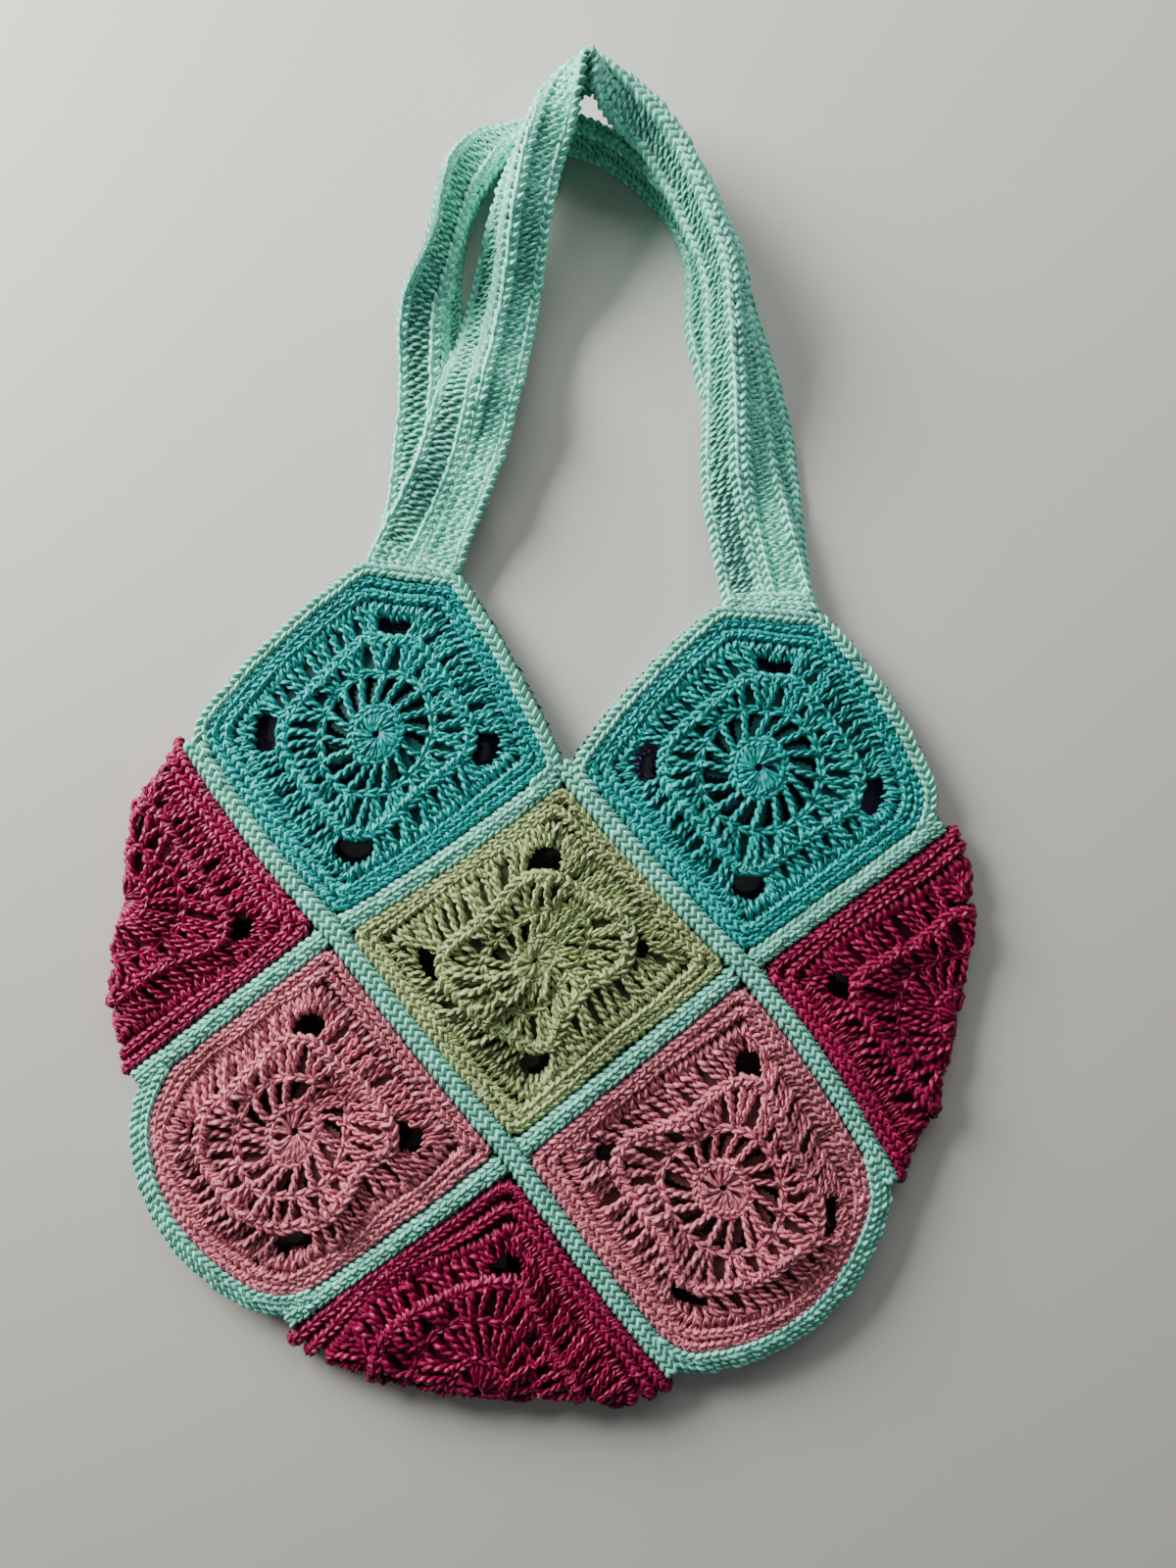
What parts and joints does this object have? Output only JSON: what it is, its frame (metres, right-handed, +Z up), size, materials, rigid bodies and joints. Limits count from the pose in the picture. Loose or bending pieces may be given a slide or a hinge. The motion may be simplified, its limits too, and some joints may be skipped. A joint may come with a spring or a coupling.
{
  "type": "crochet bag",
  "caption": "Round crochet shoulder bag of granny squares on point with braided borders and ribbed straps, lying flat, open at the top.",
  "frame": {"origin": "on the underside of the middle square of the back, which rests on the floor", "axes": "+X to the bag's right as seen from above, +Y towards the straps, +Z up from the floor, out of the front"},
  "size_m": [0.4311, 0.6594, 0.0535],
  "materials": {
    "mint": "mercerised cotton crochet, pale mint",
    "teal": "mercerised cotton crochet, teal",
    "green": "mercerised cotton crochet, light green",
    "pink": "mercerised cotton crochet, dusty pink",
    "magenta": "mercerised cotton crochet, magenta",
    "purple": "mercerised cotton crochet, dark purple"
  },
  "bodies": {
    "root": {"front_peak_left_square": "teal", "front_peak_right_square": "teal", "front_middle_square": "green", "front_lower_left_square": "pink", "front_lower_right_square": "pink", "back_peak_left_square": "purple", "back_peak_right_square": "purple", "back_middle_square": "green", "back_lower_left_square": "pink", "back_lower_right_square": "pink", "folded_left_square": "magenta", "folded_right_square": "magenta", "folded_bottom_square": "magenta", "front_seam_long_left": "mint", "front_seam_long_right": "mint", "front_seam_peak_left": "mint", "front_seam_peak_right": "mint", "front_seam_middle_lower": "mint", "front_seam_side_left": "mint", "front_seam_bottom_left": "mint", "back_seam_long_left": "mint", "back_seam_long_right": "mint", "back_seam_peak_left": "mint", "back_seam_peak_right": "mint", "back_seam_middle_lower": "mint", "back_seam_side_left": "mint", "back_seam_bottom_left": "mint", "front_rim_peak_left_inner": "mint", "front_rim_peak_left_outer": "mint", "front_rim_peak_right_outer": "mint", "front_rim_peak_right_inner": "mint", "back_rim_peak_left_inner": "mint", "back_rim_peak_left_outer": "mint", "back_rim_peak_right_outer": "mint", "back_rim_peak_right_inner": "mint", "side_seam_left": "mint", "side_seam_right": "mint", "front_strap": "mint", "back_strap": "mint"}
  },
  "joints": []
}
